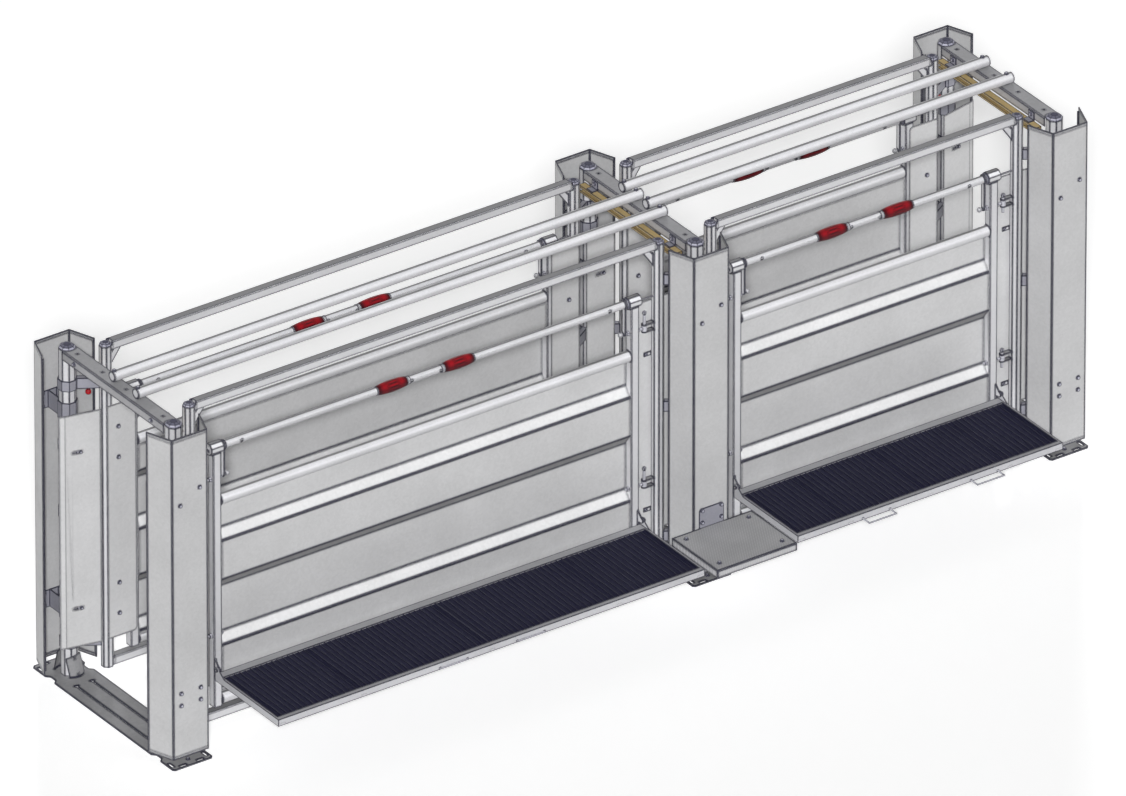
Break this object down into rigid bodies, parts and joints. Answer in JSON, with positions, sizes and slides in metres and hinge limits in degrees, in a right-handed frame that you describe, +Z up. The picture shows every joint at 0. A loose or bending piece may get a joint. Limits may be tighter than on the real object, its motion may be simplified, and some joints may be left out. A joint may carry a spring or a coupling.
{
  "type": "livestock handling race",
  "caption": "Two-bay livestock race: portals with round columns, swinging corrugated panels on drop pins, turning control bars, folding grated walkways and overhead tubes.",
  "frame": {"origin": "centre of the underside of the middle portal's base plate", "axes": "+X along the race from the long bay to the short bay, -Y towards the walkways, +Z up"},
  "size_m": [5.758, 1.663, 1.9743],
  "materials": {
    "base_plate": "hot-dip galvanised plate, dull",
    "bolts": "dark zinc hexagon bolts",
    "brackets": "galvanised bracket, darker zinc",
    "casing_sheet": "galvanised folded sheet, smooth",
    "corrugated_sheet": "galvanised corrugated sheet",
    "folded_channel": "galvanised folded channel",
    "galvanised_tube": "bright galvanised tube",
    "grating": "dark coated pressed grating",
    "passivated_track": "yellow passivated zinc",
    "plastic_caps": "dark moulded plug",
    "plate": "galvanised flat sheet",
    "red_grip": "red moulded plastic, satin",
    "red_knob": "red moulded plastic",
    "tread_plate": "galvanised plate with a fine anti-slip pattern",
    "walkway_steel": "galvanised folded steel",
    "zinc_hardware": "bright zinc plated"
  },
  "bodies": {
    "frame": {"entry_base": "base_plate", "middle_base": "base_plate", "exit_base": "base_plate", "entry_casings": "casing_sheet", "middle_casings": "casing_sheet", "exit_casings": "casing_sheet", "columns": "galvanised_tube", "crossbeams": "folded_channel", "tube_caps": "plastic_caps", "column_clamps": "brackets", "lining_plates": "plate", "infill_plates": "plate", "door_rails": "passivated_track", "rail_brackets": "brackets", "frame_bolts": "bolts", "hinge_pins": "zinc_hardware", "roof_tubes": "galvanised_tube", "lock_knobs": "red_knob", "platform_deck": "tread_plate", "platform_bracket": "brackets", "near_long_frame": "galvanised_tube", "near_short_frame": "galvanised_tube", "far_long_frame": "galvanised_tube", "far_short_frame": "galvanised_tube"},
    "near_long_panel": {"near_long_panel": "galvanised_tube", "near_long_sheet": "corrugated_sheet", "near_long_eye_bolts": "zinc_hardware"},
    "near_long_bar": {"near_long_bar": "galvanised_tube", "near_long_grips": "red_grip"},
    "near_long_upper_pin": {"near_long_upper_pin": "zinc_hardware"},
    "near_long_lower_pin": {"near_long_lower_pin": "zinc_hardware"},
    "near_short_panel": {"near_short_panel": "galvanised_tube", "near_short_sheet": "corrugated_sheet", "near_short_eye_bolts": "zinc_hardware"},
    "near_short_bar": {"near_short_bar": "galvanised_tube", "near_short_grips": "red_grip"},
    "near_short_upper_pin": {"near_short_upper_pin": "zinc_hardware"},
    "near_short_lower_pin": {"near_short_lower_pin": "zinc_hardware"},
    "far_long_panel": {"far_long_panel": "galvanised_tube", "far_long_sheet": "corrugated_sheet", "far_long_eye_bolts": "zinc_hardware"},
    "far_long_bar": {"far_long_bar": "galvanised_tube", "far_long_grips": "red_grip"},
    "far_long_upper_pin": {"far_long_upper_pin": "zinc_hardware"},
    "far_long_lower_pin": {"far_long_lower_pin": "zinc_hardware"},
    "far_short_panel": {"far_short_panel": "galvanised_tube", "far_short_sheet": "corrugated_sheet", "far_short_eye_bolts": "zinc_hardware"},
    "far_short_bar": {"far_short_bar": "galvanised_tube", "far_short_grips": "red_grip"},
    "far_short_upper_pin": {"far_short_upper_pin": "zinc_hardware"},
    "far_short_lower_pin": {"far_short_lower_pin": "zinc_hardware"},
    "long_walkway": {"long_walkway_frame": "walkway_steel", "long_walkway_grating": "grating"},
    "long_walkway_left_handle": {"long_walkway_left_handle": "zinc_hardware"},
    "long_walkway_right_handle": {"long_walkway_right_handle": "zinc_hardware"},
    "short_walkway": {"short_walkway_frame": "walkway_steel", "short_walkway_grating": "grating"},
    "short_walkway_left_handle": {"short_walkway_left_handle": "zinc_hardware"},
    "short_walkway_right_handle": {"short_walkway_right_handle": "zinc_hardware"}
  },
  "joints": [
    {"name": "near_long_swing", "type": "hinge", "parent": "frame", "child": "near_long_panel", "pos_m": [-2.955, -0.371, 0.53], "axis": [0, 0, -1], "range_deg": [0, 30]},
    {"name": "near_long_bar_turn", "type": "hinge", "parent": "near_long_panel", "child": "near_long_bar", "pos_m": [-1.6, -0.371, 1.617], "axis": [-1, 0, 0], "range_deg": [0, 80]},
    {"name": "near_long_upper_pin_slide", "type": "slide", "parent": "frame", "child": "near_long_upper_pin", "axis": [0, 0, 1], "range_m": [-0.05, 0]},
    {"name": "near_long_lower_pin_slide", "type": "slide", "parent": "frame", "child": "near_long_lower_pin", "axis": [0, 0, 1], "range_m": [-0.05, 0]},
    {"name": "near_short_swing", "type": "hinge", "parent": "frame", "child": "near_short_panel", "pos_m": [1.987, -0.371, 0.53], "axis": [0, 0, 1], "range_deg": [0, 30]},
    {"name": "near_short_bar_turn", "type": "hinge", "parent": "near_short_panel", "child": "near_short_bar", "pos_m": [1.116, -0.371, 1.617], "axis": [-1, 0, 0], "range_deg": [0, 80]},
    {"name": "near_short_upper_pin_slide", "type": "slide", "parent": "frame", "child": "near_short_upper_pin", "axis": [0, 0, 1], "range_m": [-0.05, 0]},
    {"name": "near_short_lower_pin_slide", "type": "slide", "parent": "frame", "child": "near_short_lower_pin", "axis": [0, 0, 1], "range_m": [-0.05, 0]},
    {"name": "far_long_swing", "type": "hinge", "parent": "frame", "child": "far_long_panel", "pos_m": [-0.245, 0.371, 0.53], "axis": [0, 0, -1], "range_deg": [0, 100]},
    {"name": "far_long_bar_turn", "type": "hinge", "parent": "far_long_panel", "child": "far_long_bar", "pos_m": [-1.6, 0.371, 1.617], "axis": [-1, 0, 0], "range_deg": [0, 80]},
    {"name": "far_long_upper_pin_slide", "type": "slide", "parent": "frame", "child": "far_long_upper_pin", "axis": [0, 0, 1], "range_m": [-0.05, 0]},
    {"name": "far_long_lower_pin_slide", "type": "slide", "parent": "frame", "child": "far_long_lower_pin", "axis": [0, 0, 1], "range_m": [-0.05, 0]},
    {"name": "far_short_swing", "type": "hinge", "parent": "frame", "child": "far_short_panel", "pos_m": [1.987, 0.371, 0.53], "axis": [0, 0, -1], "range_deg": [0, 100]},
    {"name": "far_short_bar_turn", "type": "hinge", "parent": "far_short_panel", "child": "far_short_bar", "pos_m": [1.116, 0.371, 1.617], "axis": [-1, 0, 0], "range_deg": [0, 80]},
    {"name": "far_short_upper_pin_slide", "type": "slide", "parent": "frame", "child": "far_short_upper_pin", "axis": [0, 0, 1], "range_m": [-0.05, 0]},
    {"name": "far_short_lower_pin_slide", "type": "slide", "parent": "frame", "child": "far_short_lower_pin", "axis": [0, 0, 1], "range_m": [-0.05, 0]},
    {"name": "long_walkway_fold", "type": "hinge", "parent": "near_long_panel", "child": "long_walkway", "pos_m": [-1.6, -0.426, 0.356], "axis": [1, 0, 0], "range_deg": [-90, 0]},
    {"name": "long_walkway_left_handle_slide", "type": "slide", "parent": "long_walkway", "child": "long_walkway_left_handle", "axis": [0, -1, 0], "range_m": [0, 0.05]},
    {"name": "long_walkway_right_handle_slide", "type": "slide", "parent": "long_walkway", "child": "long_walkway_right_handle", "axis": [0, -1, 0], "range_m": [0, 0.05]},
    {"name": "short_walkway_fold", "type": "hinge", "parent": "near_short_panel", "child": "short_walkway", "pos_m": [1.116, -0.426, 0.356], "axis": [1, 0, 0], "range_deg": [-90, 0]},
    {"name": "short_walkway_left_handle_slide", "type": "slide", "parent": "short_walkway", "child": "short_walkway_left_handle", "axis": [0, -1, 0], "range_m": [-0.05, 0]},
    {"name": "short_walkway_right_handle_slide", "type": "slide", "parent": "short_walkway", "child": "short_walkway_right_handle", "axis": [0, -1, 0], "range_m": [-0.05, 0]}
  ]
}
